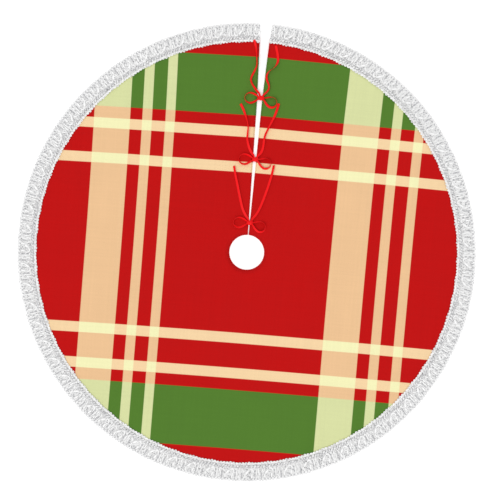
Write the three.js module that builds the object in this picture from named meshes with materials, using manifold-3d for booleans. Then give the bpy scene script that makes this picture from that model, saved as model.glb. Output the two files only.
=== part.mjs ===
// Round tree skirt: a lined cloth panel with a lace rim, a trunk opening and a slit closed by three bows.
// Millimetres, +Z up. The origin is the centre of the trunk opening, on the floor. The slit runs along +Y.
import * as THREE from "three";
import { mergeVertices } from "three/addons/utils/BufferGeometryUtils.js";
import Module from "manifold-3d";

const wasm = await Module();
wasm.setup();

// Overall sizes.
const skirtDiameter = 1219;
const openingDiameter = 93;
const trimWidth = 48;

// Half of the gap between the slit's two edges: at the opening, at the top bow, at the rim and past the lace.
const slitHalfAtOpening = 1;
const slitHalfAtTopBow = 6.8;
const slitHalfAtRim = 12.8;
const slitHalfPastLace = 17;

// Cloth layers, from the floor up, and the clearance that keeps stitched layers apart.
const liningThickness = 0.8;
const faceThickness = 0.8;
const layerGap = 0.3;

// Hems: cloth turned under along the slit, round the opening and round the rim.
const slitHemWidth = 15;
const openingHemWidth = 15;
const rimHemWidth = 20;

// Lace trim: the heading is stitched over the panel's edge, under a braid and a picot tape.
const laceHeadingWidth = 10;
const laceHeadingThickness = 0.6;
const laceThickness = 1;
const laceSlopeWidth = 7;
const picotTapeWidth = 6.4;
const picotTapeThickness = 0.8;
const braidWidth = 8;
const braidThickness = 1.2;

// Ribbon ties. Each bow is two ribbons, one from each edge of the slit, tied in one knot.
const ribbonWidth = 7;
const ribbonThickness = 0.6;
const tabLength = 12;
const knotWidth = 12;
const knotDepth = 9;
const knotHeight = 6;
const knotBevel = 1.2;
const lowestKnotInset = 32.5;
const topKnotInset = 149;

// Facets on the rims, and steps along the ribbons.
const rimFacets = 96;
const openingFacets = 48;
const tailSteps = 26;
const loopSteps = 24;

// Places that follow from the sizes above.
const skirtRadius = skirtDiameter / 2;
const openingRadius = openingDiameter / 2;
const panelRadius = skirtRadius - trimWidth;
const faceRadius = panelRadius + laceHeadingWidth;
const liningTop = liningThickness;
const faceBottom = liningTop + layerGap;
const faceTop = faceBottom + faceThickness;
const headingBottom = faceTop + layerGap;
const headingTop = headingBottom + laceHeadingThickness;
const trimBottom = headingTop + layerGap;
const openingHemOuter = openingRadius + openingHemWidth;
const rimHemInner = faceRadius - rimHemWidth;
const restHeight = faceTop + layerGap + ribbonThickness / 2;
const knotBottom = faceTop + layerGap;
const lowestKnotY = openingRadius + lowestKnotInset;
const topKnotY = panelRadius - topKnotInset;
const knotPlaces = [topKnotY, (topKnotY + lowestKnotY) / 2, lowestKnotY];
const cutterMargin = 5;

// Ribbon routes, chosen by hand: x and y from the knot's centre. A tail's third number is its height above
// lying flat on the cloth.
const leftLoopRoute = [
  [-6.3, 2.6], [-12, 6], [-19, 9.6], [-27, 11.9], [-34, 11.3], [-40, 7.4], [-43.7, 1], [-43.4, -6],
  [-38.6, -12], [-30, -14.9], [-22, -13.2], [-14, -8], [-6.3, -2.6],
];
const rightLoopRoute = [
  [6.3, 0.8], [13, 1.7], [21, 4.1], [29, 5], [36, 2.8], [41, -2.8], [42.8, -10], [40, -17.4],
  [33, -22.2], [25, -22.3], [17.6, -17.8], [11.6, -10.8], [6.3, -3],
];
const tailRoutes = [
  {
    left: [
      [-4.5, 5.4, 2.2], [-4.8, 8.6, 2.2], [-7.4, 13.4, 1.2], [-14, 21, 0.2], [-24, 34.5, 0.1],
      [-28.6, 46.7, 0.1], [-26, 59, 0.1], [-19.6, 71.6, 0.1], [-15.8, 83.7, 0.1], [-15.6, 95.8, 0.1],
      [-17.8, 112.7, 0.1], [-20.4, 129.7, 0.1], [-23, 140, 0.4], [-25.4, 147, 2.5], [-28.2, 153, 2.5],
    ],
    right: [
      [4.5, 5.4, 2.2], [4.8, 8.6, 2.2], [8.6, 12.4, 1.2], [14, 17.2, 0.2], [19.4, 25.4, 0.1],
      [20.6, 35.6, 0.1], [16, 47.2, 0.1], [13.2, 57.4, 0.1], [15, 67.4, 0.1], [20.6, 75, 0.1],
      [29.4, 81.8, 0.1], [36, 90.6, 0.1], [40, 101.6, 0.1], [38.4, 116, 0.1], [34.4, 130.8, 0.1],
      [30.8, 143.4, 0.1],
    ],
  },
  {
    left: [
      [-4.5, 5.4, 2.2], [-4.8, 8.6, 2.2], [-7.4, 12.6, 1.2], [-12, 19.4, 0.2], [-18.5, 34.4, 0.1],
      [-23.8, 54.2, 0.1], [-24.4, 72.6, 0.1], [-24.4, 87.6, 0.1], [-27.4, 100.6, 0.1],
      [-33, 115.6, 0.1], [-40.6, 132.6, 0.1], [-49.6, 147.8, 0.1],
    ],
    right: [
      [4.5, 5.4, 2.2], [4.8, 8.6, 2.2], [7.4, 12, 1.2], [11.6, 16.4, 0.2], [17, 26.4, 0.1],
      [20.2, 41.4, 0.1], [20.8, 57.2, 0.1], [23.6, 72.4, 0.1], [29.4, 88, 0.1], [36.2, 104.4, 0.1],
      [43.6, 122.8, 0.1], [48.8, 141.4, 0.1], [52, 157, 0.1],
    ],
  },
  {
    left: [
      [-4.5, 5.4, 2.2], [-4.8, 8.6, 2.2], [-7.8, 12.6, 1.2], [-13, 19.8, 0.2], [-21, 35.7, 0.1],
      [-27.6, 55.8, 0.1], [-33.6, 76.4, 0.1], [-40.2, 99.6, 0.1], [-47, 123, 0.1], [-53.2, 147.7, 0.1],
    ],
    right: [
      [4.5, 5.4, 2.2], [4.8, 8.6, 2.2], [7, 12.2, 1.2], [11, 17, 0.2], [18.2, 27.6, 0.1],
      [26.2, 45.2, 0.1], [33, 66.6, 0.1], [39.4, 90, 0.1], [45.2, 114, 0.1], [49.9, 137.4, 0.1],
      [52.6, 158.3, 0.1],
    ],
  },
];

const clothRed = { color: 0xc11816, roughness: 0.85, metalness: 0 };
const clothReverse = { color: 0xe9e4dc, roughness: 0.9, metalness: 0 };
const laceWhite = { color: 0xf2f2f0, roughness: 0.8, metalness: 0 };
const braidWhite = { color: 0xe4e4e2, roughness: 0.8, metalness: 0 };
const satinRed = { color: 0xfd1e23, roughness: 0.4, metalness: 0 };

// A closed three.js geometry as a solid that can be cut.
function toSolid(geometry) {
  const bare = geometry.clone();
  bare.deleteAttribute("normal");
  bare.deleteAttribute("uv");
  const merged = mergeVertices(bare);
  const vertProperties = new Float32Array(merged.getAttribute("position").array);
  const triVerts = new Uint32Array(merged.index.array);
  return new wasm.Manifold(new wasm.Mesh({ numProp: 3, vertProperties, triVerts }));
}

// A cut solid as a three.js geometry again.
function toGeometry(solid) {
  const { vertProperties, triVerts } = solid.getMesh();
  const geometry = new THREE.BufferGeometry();
  geometry.setAttribute("position", new THREE.BufferAttribute(new Float32Array(vertProperties), 3));
  geometry.setIndex(new THREE.BufferAttribute(new Uint32Array(triVerts), 1));
  geometry.computeVertexNormals();
  return geometry;
}

// A ring with a closed profile of [radius, height] points, listed counter-clockwise.
function ring(profile, facets) {
  const points = [...profile, profile[0]].map(([radius, height]) => new THREE.Vector2(radius, height));
  return toSolid(new THREE.LatheGeometry(points, facets).rotateX(Math.PI / 2));
}

// A flat ring between two radii and two heights.
function flatRing(inner, outer, bottom, top, facets) {
  return ring([[inner, bottom], [outer, bottom], [outer, top], [inner, top]], facets);
}

// Half of the slit's gap where the slit bends: [y, half gap].
function slitBends(margin) {
  return [
    [0, slitHalfAtOpening + margin],
    [openingRadius, slitHalfAtOpening + margin],
    [topKnotY, slitHalfAtTopBow + margin],
    [panelRadius, slitHalfAtRim + margin],
    [skirtRadius, slitHalfPastLace + margin],
    [skirtRadius + cutterMargin, slitHalfPastLace + margin],
  ];
}

// Half of the slit's gap at any distance from the centre.
function slitHalfAt(y) {
  const bends = slitBends(0);
  const next = bends.findIndex(([place]) => place > y);
  const [lowY, lowHalf] = bends[next - 1];
  const [highY, highHalf] = bends[next];
  return lowHalf + ((highHalf - lowHalf) * (y - lowY)) / (highY - lowY);
}

// An outline in the floor's plane, raised from one height to another.
function prism(outline, bottom, top) {
  const shape = new THREE.Shape(outline.map(([x, y]) => new THREE.Vector2(x, y)));
  const options = { depth: top - bottom, bevelEnabled: false };
  return new THREE.ExtrudeGeometry(shape, options).translate(0, 0, bottom);
}

// The slit's empty space, widened by a margin on each side.
function slitSpace(margin) {
  const right = slitBends(margin).map(([y, half]) => [half, y]);
  const left = slitBends(margin).map(([y, half]) => [-half, y]).reverse();
  return toSolid(prism([...right, ...left], -cutterMargin, skirtRadius));
}

// The printed outer cloth.
function facePanel() {
  const disc = flatRing(openingRadius, faceRadius, faceBottom, faceTop, rimFacets);
  return toGeometry(disc.subtract(slitSpace(0)));
}

// The lining, felled to the hems all round.
function liningPanel() {
  const inner = openingHemOuter + layerGap;
  const outer = rimHemInner - layerGap;
  const disc = flatRing(inner, outer, 0, liningTop, rimFacets);
  return toGeometry(disc.subtract(slitSpace(slitHemWidth + layerGap)));
}

// The hem turned under round the trunk opening.
function openingHem() {
  const disc = flatRing(openingRadius, openingHemOuter, 0, liningTop, openingFacets);
  return toGeometry(disc.subtract(slitSpace(0)));
}

// The hem turned under round the rim.
function rimHem() {
  return toGeometry(flatRing(rimHemInner, faceRadius, 0, liningTop, rimFacets).subtract(slitSpace(0)));
}

// The hem turned under along one edge of the slit, with a pocket for each ribbon's stitched end.
function slitHem(side) {
  const edge = slitBends(0).map(([y, half]) => [side * half, y]);
  const inside = slitBends(slitHemWidth).map(([y, half]) => [side * half, y]).reverse();
  const strip = toSolid(prism(side > 0 ? [...inside, ...edge] : [...edge, ...inside], 0, liningTop));
  const inner = openingHemOuter + layerGap;
  const outer = rimHemInner - layerGap;
  const band = flatRing(inner, outer, -cutterMargin, cutterMargin, rimFacets);
  const pockets = knotPlaces.map((y) => {
    const length = 2 * (tabLength + layerGap);
    const box = new THREE.BoxGeometry(length, ribbonWidth + 2 * layerGap, 2 * cutterMargin);
    return toSolid(box.translate(side * slitHalfAt(y), y, 0));
  });
  return toGeometry(pockets.reduce((left, pocket) => left.subtract(pocket), strip.intersect(band)));
}

// The lace: a heading on the cloth, a slope over the cloth's cut edge, then the body on the floor.
function laceEdging() {
  const slopeStart = faceRadius + layerGap;
  const slopeEnd = slopeStart + laceSlopeWidth;
  const profile = [
    [panelRadius, headingBottom],
    [slopeStart, headingBottom],
    [slopeStart + laceThickness, 0],
    [skirtRadius, 0],
    [skirtRadius, laceThickness],
    [slopeEnd, laceThickness],
    [slopeStart, headingTop],
    [panelRadius, headingTop],
  ];
  return toGeometry(ring(profile, rimFacets).subtract(slitSpace(0)));
}

// The white picot tape along the trim's inner edge.
function picotTape() {
  const outer = panelRadius + picotTapeWidth;
  const tape = flatRing(panelRadius, outer, trimBottom, trimBottom + picotTapeThickness, rimFacets);
  return toGeometry(tape.subtract(slitSpace(0)));
}

// The braid that covers the lace's heading.
function headingBraid() {
  const inner = panelRadius + picotTapeWidth + layerGap;
  const braid = flatRing(inner, inner + braidWidth, trimBottom, trimBottom + braidThickness, rimFacets);
  return toGeometry(braid.subtract(slitSpace(0)));
}

// A flat ribbon's section, eight-sided: its thickness along x and its width along y.
function ribbonSection() {
  const flat = ribbonThickness / 2;
  const edge = flat / 2;
  const wide = ribbonWidth / 2;
  const shoulder = wide - flat / 2;
  return new THREE.Shape([
    new THREE.Vector2(flat, -shoulder),
    new THREE.Vector2(flat, shoulder),
    new THREE.Vector2(edge, wide),
    new THREE.Vector2(-edge, wide),
    new THREE.Vector2(-flat, shoulder),
    new THREE.Vector2(-flat, -shoulder),
    new THREE.Vector2(-edge, -wide),
    new THREE.Vector2(edge, -wide),
  ]);
}

// The same section turned a quarter, for a ribbon that stands on its edge.
function standingSection() {
  const turned = ribbonSection().getPoints().map(({ x, y }) => new THREE.Vector2(-y, x));
  return new THREE.Shape(turned);
}

// A free end, lying on the cloth.
function ribbonTail(route, knotY) {
  const points = route.map(([x, y, lift]) => new THREE.Vector3(x, knotY + y, restHeight + lift));
  const extrudePath = new THREE.CatmullRomCurve3(points);
  return new THREE.ExtrudeGeometry(ribbonSection(), { steps: tailSteps, bevelEnabled: false, extrudePath });
}

// A bow's loop, standing on its edge.
function ribbonLoop(route, knotY) {
  const middle = knotBottom + ribbonWidth / 2;
  const points = route.map(([x, y]) => new THREE.Vector3(x, knotY + y, middle));
  const extrudePath = new THREE.CatmullRomCurve3(points);
  return new THREE.ExtrudeGeometry(standingSection(), { steps: loopSteps, bevelEnabled: false, extrudePath });
}

// A ribbon's stitched end: flat in the hem's pocket, then up through the slit to the knot's underside.
function ribbonTab(side, knotY) {
  const half = slitHalfAt(knotY);
  const clearance = (liningTop - ribbonThickness) / 2;
  const rise = half / 2;
  const outline = [
    [-half - tabLength, clearance],
    [-rise + ribbonThickness / 2, clearance],
    [-rise + ribbonThickness / 2, knotBottom - layerGap],
    [-rise - ribbonThickness / 2, knotBottom - layerGap],
    [-rise - ribbonThickness / 2, clearance + ribbonThickness],
    [-half - tabLength, clearance + ribbonThickness],
  ];
  const shape = new THREE.Shape(outline.map(([x, z]) => new THREE.Vector2(x, z)));
  const tab = new THREE.ExtrudeGeometry(shape, { depth: ribbonWidth, bevelEnabled: false });
  tab.translate(0, 0, -ribbonWidth / 2).rotateX(Math.PI / 2);
  return tab.rotateZ(side > 0 ? Math.PI : 0).translate(0, knotY, 0);
}

// The knot, where the two ribbons wrap each other.
function bowKnot(knotY) {
  const halfWidth = knotWidth / 2 - knotBevel;
  const halfDepth = knotDepth / 2 - knotBevel;
  const shape = new THREE.Shape([
    new THREE.Vector2(-halfWidth, -halfDepth),
    new THREE.Vector2(halfWidth, -halfDepth),
    new THREE.Vector2(halfWidth, halfDepth),
    new THREE.Vector2(-halfWidth, halfDepth),
  ]);
  const options = {
    depth: knotHeight - 2 * knotBevel,
    bevelSize: knotBevel,
    bevelThickness: knotBevel,
    bevelSegments: 3,
  };
  return new THREE.ExtrudeGeometry(shape, options).translate(0, knotY, knotBottom + knotBevel);
}

const skirt = new THREE.Group();

function addPiece(name, geometry, finish) {
  const piece = new THREE.Mesh(geometry, new THREE.MeshStandardMaterial(finish));
  piece.name = name;
  skirt.add(piece);
}

addPiece("face_panel", facePanel(), clothRed);
addPiece("lining_panel", liningPanel(), clothReverse);
addPiece("opening_hem", openingHem(), clothRed);
addPiece("rim_hem", rimHem(), clothRed);
addPiece("slit_hem_left", slitHem(-1), clothRed);
addPiece("slit_hem_right", slitHem(1), clothRed);
addPiece("lace_edging", laceEdging(), laceWhite);
addPiece("picot_tape", picotTape(), laceWhite);
addPiece("heading_braid", headingBraid(), braidWhite);

knotPlaces.forEach((knotY, index) => {
  const bow = `bow_${["top", "middle", "lower"][index]}`;
  addPiece(`${bow}_knot`, bowKnot(knotY), satinRed);
  addPiece(`${bow}_left_tab`, ribbonTab(-1, knotY), satinRed);
  addPiece(`${bow}_right_tab`, ribbonTab(1, knotY), satinRed);
  addPiece(`${bow}_left_loop`, ribbonLoop(leftLoopRoute, knotY), satinRed);
  addPiece(`${bow}_right_loop`, ribbonLoop(rightLoopRoute, knotY), satinRed);
  addPiece(`${bow}_left_tail`, ribbonTail(tailRoutes[index].left, knotY), satinRed);
  addPiece(`${bow}_right_tail`, ribbonTail(tailRoutes[index].right, knotY), satinRed);
});

export default skirt;
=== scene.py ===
# %% [markdown]
# # A round tree skirt in tartan cloth
#
# The skirt is a flat ring of lined cloth that lies round the foot of a tree. A lace trim runs round
# its rim, one slit lets it pass the trunk, and three ribbon bows hold the slit shut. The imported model
# gives places and sizes, and this file gives cloth, lace, ribbon and thread. Lengths are in metres.

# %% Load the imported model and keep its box
import math

import bmesh
import bpy
import numpy as np
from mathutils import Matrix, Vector


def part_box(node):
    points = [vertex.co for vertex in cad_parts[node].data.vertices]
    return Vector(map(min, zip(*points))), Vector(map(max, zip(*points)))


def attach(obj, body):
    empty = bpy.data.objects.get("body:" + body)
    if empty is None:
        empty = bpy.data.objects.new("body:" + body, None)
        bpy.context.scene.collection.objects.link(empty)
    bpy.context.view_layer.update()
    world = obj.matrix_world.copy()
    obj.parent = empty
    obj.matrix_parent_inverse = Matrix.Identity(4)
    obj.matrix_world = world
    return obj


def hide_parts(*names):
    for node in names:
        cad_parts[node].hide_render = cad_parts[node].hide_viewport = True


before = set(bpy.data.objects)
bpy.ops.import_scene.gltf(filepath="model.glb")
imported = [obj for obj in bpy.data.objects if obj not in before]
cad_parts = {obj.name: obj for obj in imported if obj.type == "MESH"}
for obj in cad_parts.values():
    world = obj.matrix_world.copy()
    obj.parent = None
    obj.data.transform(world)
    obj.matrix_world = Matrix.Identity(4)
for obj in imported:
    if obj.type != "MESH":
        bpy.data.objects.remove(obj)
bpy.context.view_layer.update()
scene = bpy.context.scene
mm = 0.001

# %% [markdown]
# ## The camera
#
# The skirt is seen from straight above, a little turned. A long lens far away keeps the circle round.
# An orthographic camera would too, but a real lens also suits the views from the side.

# %% The camera looks straight down
view_width = 1335.5 * mm
lens, sensor = 85, 36
camera_turn = math.radians(4.84)
aim = Vector((8.2 * mm, 6.9 * mm, 0))

eye = bpy.data.objects.new("camera", bpy.data.cameras.new("camera"))
scene.collection.objects.link(eye)
eye.data.lens = lens
eye.data.sensor_width = sensor
eye.location = aim + Vector((0, 0, view_width * lens / sensor))
eye.rotation_euler = (0, 0, camera_turn)
scene.camera = eye
print("camera height in m", round(eye.location.z, 3))

# %% [markdown]
# ## The skirt's own sizes
#
# The slit widens in three straight stretches: to the top bow, to the cloth's edge, and out past the
# lace. The cloth lies in faint waves, as ironed cloth does on a floor, and every piece follows them.

# %% Sizes that several pieces share
face_low, face_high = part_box("face_panel")
opening_radius = 46.5 * mm
face_radius = face_high.x
rim_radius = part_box("lace_edging")[1].x
panel_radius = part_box("picot_tape")[1].x - 6.4 * mm
layer_gap = 0.3 * mm
bow_names, sides = ["top", "middle", "lower"], {"left": -1, "right": 1}
knot_y = {bow: sum(corner.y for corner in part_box(f"bow_{bow}_knot")) / 2 for bow in bow_names}
slit_radii = [opening_radius, knot_y["top"], panel_radius, rim_radius]
slit_halves = [1 * mm, 6.8 * mm, 12.8 * mm, 17 * mm]

wave_height, flat_radius = 5 * mm, 120 * mm


def slit_half(radius):
    """Half of the slit's gap at a radius."""
    return np.interp(radius, slit_radii, slit_halves)


def cloth_waves(x, y):
    """How far the cloth lifts off the floor at a place."""
    radius = np.hypot(x, y)
    around = np.arctan2(x, y)
    reach = np.clip((radius - flat_radius) / (rim_radius - flat_radius), 0, 1)
    swell = 0.5 + 0.24 * np.sin(3 * around + 0.6) + 0.16 * np.sin(7 * around + 2.1)
    swell = swell + 0.1 * np.sin(12 * around + 9 * radius)
    return wave_height * reach ** 2 * np.clip(swell, 0, 1)


def read_points(piece):
    """A mesh's points, one in each row."""
    points = np.empty(len(piece.data.vertices) * 3)
    piece.data.vertices.foreach_get("co", points)
    return points.reshape(-1, 3)


def settle(piece):
    """Lays a piece on the cloth's waves."""
    points = read_points(piece)
    points[:, 2] += cloth_waves(points[:, 0], points[:, 1])
    piece.data.vertices.foreach_set("co", points.ravel())
    piece.data.update()


def cut_place(x, y):
    """Where a point lay in the whole round of cloth, before its slit was opened."""
    radius = np.hypot(x, y)
    edge = np.arcsin(np.minimum(slit_half(radius) / radius, 1))
    share = (np.arctan2(x, y) % math.tau - edge) / (math.tau - 2 * edge)
    angle = math.tau * np.clip(share, 0, 1)
    return np.stack([radius * np.sin(angle), radius * np.cos(angle)], axis=-1)


print("radii in mm", [round(radius / mm, 1) for radius in slit_radii])

# %% [markdown]
# ## The ribbon ties
#
# Each bow is two satin ribbons. A ribbon is stitched into the hem, comes up through the slit, goes
# into the knot, makes one loop, goes back through the knot and ends in a cut tail. A cloth simulation
# would not keep that shape. A strip swept along a line, with a roll angle at each point, does.

# %% The ribbons' routes
ribbon_width, ribbon_thickness = 7 * mm, 0.5 * mm
cloth_top = face_high.z
knot_middle = cloth_top + 3 * mm
tab_length, tab_end = 12 * mm, 1 * mm
slit_depth, knot_foot = 0.4 * mm, 1 * mm

# No bow is tied dead centre. x and y in mm from the middle of the slit at its ties.
bow_shift = {"top": (4, 0.3), "middle": (1.9, 3.1), "lower": (1.6, 0.4)}

# x and y from the knot's centre in mm, and the roll in degrees.
loops = {
    "left": [
        (-6.3, 2.6, 60), (-12, 6, 50), (-19, 9.6, 48), (-27, 11.9, 60), (-34, 11.3, 74),
        (-40, 7.4, 84), (-43.7, 1, 86), (-43.4, -6, 78), (-38.6, -12, 58), (-30, -14.9, 40),
        (-22, -13.2, 36), (-14, -8, 44), (-6.3, -2.6, 60),
    ],
    "right": [
        (6.3, 0.8, 60), (13, 1.7, 48), (21, 4.1, 56), (29, 5, 76), (36, 2.8, 86), (41, -2.8, 86),
        (42.8, -10, 80), (40, -17.4, 66), (33, -22.2, 48), (25, -22.3, 38), (17.6, -17.8, 36),
        (11.6, -10.8, 44), (6.3, -3, 60),
    ],
}

# The same for the tails. A fourth number is how far in mm the ribbon is held off the cloth.
tails = {
    ("top", "left"): [
        (-4.5, 5.4, 30, 2.2), (-4.8, 8.6, 35, 2.2), (-7.4, 13.4, 38, 1.2), (-14, 21, 42),
        (-23.4, 34.5, 54), (-27.6, 46.7, 52), (-25.2, 59, 40), (-19.6, 71.6, 42), (-15.8, 83.7, 60),
        (-15.6, 95.8, 66), (-17.8, 112.7, 62), (-20.4, 129.7, 48), (-23, 140, 30),
        (-25.4, 147, 14, 2.5), (-28.2, 153, 8, 2.5),
    ],
    ("top", "right"): [
        (4.5, 5.4, 30, 2.2), (4.8, 8.6, 35, 2.2), (8.6, 12.4, 42, 1.2), (14, 17.2, 45),
        (19.4, 25.4, 50), (20.6, 35.6, 54), (16, 47.2, 45), (13.2, 57.4, 40), (15, 67.4, 54),
        (20.6, 75, 70), (29.4, 81.8, 84), (36, 90.6, 58), (40, 101.6, 28), (38.4, 116, 8),
        (34.4, 130.8, 4), (30.8, 143.4, 4),
    ],
    ("middle", "left"): [
        (-4.5, 5.4, 25, 2.2), (-4.8, 8.6, 22, 2.2), (-7.4, 12.6, 20, 1.2), (-12, 19.4, 16),
        (-18.5, 34.4, 22), (-23.8, 54.2, 38), (-24.4, 72.6, 50), (-24.4, 87.6, 64),
        (-27.4, 100.6, 72), (-33, 115.6, 50), (-40.6, 132.6, 24), (-49.6, 147.8, 22),
    ],
    ("middle", "right"): [
        (4.5, 5.4, 25, 2.2), (4.8, 8.6, 22, 2.2), (7.4, 12, 20, 1.2), (11.6, 16.4, 18),
        (17, 26.4, 18), (20.2, 41.4, 30), (20.8, 57.2, 38), (23.6, 72.4, 42), (29.4, 88, 46),
        (36.2, 104.4, 36), (43.6, 122.8, 26), (48.8, 141.4, 22), (52, 157, 20),
    ],
    ("lower", "left"): [
        (-4.5, 5.4, 25, 2.2), (-4.8, 8.6, 20, 2.2), (-7.8, 12.6, 16, 1.2), (-13, 19.8, 14),
        (-21, 35.7, 16), (-27.6, 55.8, 20), (-33.6, 76.4, 22), (-40.2, 99.6, 26), (-47, 123, 32),
        (-53.2, 147.7, 38),
    ],
    ("lower", "right"): [
        (4.5, 5.4, 25, 2.2), (4.8, 8.6, 26, 2.2), (7, 12.2, 28, 1.2), (11, 17, 28),
        (18.2, 27.6, 28), (26.2, 45.2, 24), (33, 66.6, 20), (39.4, 90, 20), (45.2, 114, 24),
        (49.9, 137.4, 30), (52.6, 158.3, 36),
    ],
}

# Inside the knot: x, y and the height from the knot's middle in mm, the roll, and the share of
# its full width that the gathered ribbon keeps.
into_knot = [(2.4, 1.2, 0, 45, 0.55)]
through_knot = [(2.2, -0.9, 0.4, 50, 0.5), (1.2, 1.4, 0.6, 40, 0.5), (2.6, 3.6, 0, 34, 0.55)]


def standing_height(roll):
    """How high a rolled ribbon's middle is when its lower edge rests on the cloth."""
    return layer_gap + ribbon_thickness / 2 + ribbon_width / 2 * abs(math.sin(math.radians(roll)))


def tie_stations(bow, side):
    """Stations along a tie: x, y and z in metres, roll in degrees, and the share of full width."""
    sign, y0, half = sides[side], knot_y[bow], float(slit_half(knot_y[bow]))
    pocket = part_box(f"bow_{bow}_{side}_tab")[0].z + ribbon_thickness / 2
    shift_x, shift_y = bow_shift[bow]

    def place(x, y, z, near=1):
        """A place that moves with its knot by the share that is near."""
        return (x + shift_x * near) * mm, y0 + (y + shift_y * near) * mm, z

    def in_knot(stretch):
        """Stations inside the knot, mirrored for the left tie."""
        return [(*place(sign * x, y, knot_middle + z * mm), *rest) for x, y, z, *rest in stretch]

    insets = tab_length, tab_length / 2, tab_end
    stations = [(sign * (half + inset), y0, pocket, 0, 1) for inset in insets]
    stations.append((sign * half / 2, y0, cloth_top - slit_depth, 0, 0.9))
    stations.append((*place(sign * half / mm / 4, 0, knot_middle - knot_foot, 0.5), 10, 0.6))
    stations += in_knot(into_knot)
    for x, y, roll in loops[side]:
        gathered = np.interp(math.hypot(x, y), [6, 16], [0.7, 1])
        stations.append((*place(x, y, cloth_top + standing_height(roll)), roll, gathered))
    stations += in_knot(through_knot)
    for x, y, roll, *held in tails[bow, side]:
        gathered, near = np.interp(y, [5, 16], [0.75, 1]), np.interp(y, [10, 42], [1, 0])
        height = max(standing_height(0) + sum(held) * mm, standing_height(roll))
        stations.append((*place(x, y, cloth_top + height, near), roll, gathered))
    return np.array(stations)


print("tails", len(tails), "loops", len(loops))

# %% [markdown]
# ## From stations to a smooth line
#
# A ribbon bends smoothly between the places where it is held. A Catmull-Rom curve passes through
# every station, and points spread evenly along it give the mesh even faces.

# %% Smooth lines and tubes


def stretches(line):
    """The distance from each point of a line to the next."""
    return np.linalg.norm(np.diff(line, axis=0), axis=1)


def smooth_line(stations, spacing):
    """A smooth line through the stations, and how far along it each point is."""
    steps = np.linspace(0, 1, 24, endpoint=False)[:, None]
    first, last = 2 * stations[0] - stations[1], 2 * stations[-1] - stations[-2]
    held = np.concatenate([[first], stations, [last]])
    fine = []
    for a, b, c, d in zip(held, held[1:], held[2:], held[3:]):
        bend, turn = 2 * a - 5 * b + 4 * c - d, 3 * b - a - 3 * c + d
        fine.append(0.5 * (2 * b + (c - a) * steps + bend * steps ** 2 + turn * steps ** 3))
    fine = np.concatenate(fine + [stations[-1:]])
    travelled = np.r_[0, np.cumsum(stretches(fine[:, :3]))]
    places = np.linspace(0, travelled[-1], round(travelled[-1] / spacing) + 1)
    return np.stack([np.interp(places, travelled, column) for column in fine.T], axis=1), places


def unit(vectors):
    """Vectors of length one."""
    return vectors / np.linalg.norm(vectors, axis=-1, keepdims=True)


def soften(values, passes):
    """Evens out a row of vectors and keeps its ends."""
    for _ in range(passes):
        values[1:-1] = (values[:-2] + 2 * values[1:-1] + values[2:]) / 4
    return values


def make_piece(name, points=(), faces=(), edges=()):
    """A smooth-shaded object from points, and faces that are turned to look outwards."""
    mesh = bpy.data.meshes.new(name)
    mesh.from_pydata(np.asarray(points).reshape(-1, 3).tolist(), edges, faces)
    shell = bmesh.new()
    shell.from_mesh(mesh)
    bmesh.ops.recalc_face_normals(shell, faces=shell.faces)
    shell.to_mesh(mesh)
    shell.free()
    mesh.shade_smooth()
    piece = bpy.data.objects.new(name, mesh)
    scene.collection.objects.link(piece)
    return piece


def make_tube(name, rings):
    """A closed skin over a row of section rings, with a cap at each end."""
    rows, around = rings.shape[:2]
    faces = []
    for here in range(0, (rows - 1) * around, around):
        for i in range(around):
            j = (i + 1) % around
            faces.append((here + i, here + j, here + around + j, here + around + i))
    last = (rows - 1) * around
    faces += [tuple(range(around)), tuple(range(last, last + around))]
    return make_piece(name, rings, faces)


print("a vector of length one", unit(np.array([3.0, 4.0])))

# %% [markdown]
# ## Sweeping a ribbon
#
# A ribbon's section is a shallow arch with two thicker woven edges. The sweep carries the width's
# direction from point to point, so the strip never flips where it turns back inside the knot. Its own
# map runs across and along it, for the satin finish to read.

# %% Make the six ties
ribbon_spacing = 1.6 * mm
section_shares = np.array([-1, -0.93, -0.8, -0.4, 0, 0.4, 0.8, 0.93, 1]) / 2
section_bulge = np.array([0.8, 1.15, 0.85, 0.8, 0.8, 0.8, 0.85, 1.15, 0.8]) / 2
arch_height = 0.35 * mm


def ribbon_directions(line, rolls):
    """Across and up directions at each point of a ribbon's middle line."""
    ahead = unit(np.gradient(line, axis=0))
    level = unit(np.cross(ahead, [0, 0, 1]) + 1e-9)
    turn = np.radians(rolls)[:, None]
    across = np.cos(turn) * level + np.sin(turn) * np.cross(level, ahead)
    for i in range(1, len(across)):
        if across[i] @ across[i - 1] < 0:
            across[i] *= -1
    across = soften(across, 6)
    across = unit(across - np.sum(across * ahead, axis=1, keepdims=True) * ahead)
    return across, np.cross(across, ahead)


def make_ribbon(name, stations):
    """A ribbon as a closed thin strip, and its middle line."""
    values, places = smooth_line(stations, ribbon_spacing)
    line = soften(values[:, :3].copy(), 2)
    line[:, 2] += cloth_waves(line[:, 0], line[:, 1])
    across, up = ribbon_directions(line, values[:, 3])
    shares = values[:, 4][:, None, None]
    arch = arch_height * (1 - (2 * section_shares) ** 2)[None, :, None] / shares ** 2
    middle = line[:, None] + across[:, None] * section_shares[:, None] * ribbon_width * shares
    middle = middle + up[:, None] * arch
    offset = up[:, None] * (section_bulge * ribbon_thickness)[:, None]
    rings = np.concatenate([middle + offset, (middle - offset)[:, ::-1]], axis=1)
    piece = make_tube(name, rings)
    shares_round = np.r_[section_shares, section_shares[::-1]] + 0.5
    across = np.tile(shares_round, len(line))
    map_points(piece, "StripMap", np.stack([across, np.repeat(places, rings.shape[1])], axis=1))
    return piece, line


def map_points(piece, name, places):
    """A UV map that gives every point of a mesh its place."""
    layer = piece.data.uv_layers.new(name=name)
    corners = np.empty(len(piece.data.loops), dtype=int)
    piece.data.loops.foreach_get("vertex_index", corners)
    layer.data.foreach_set("uv", places[corners].ravel())


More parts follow.
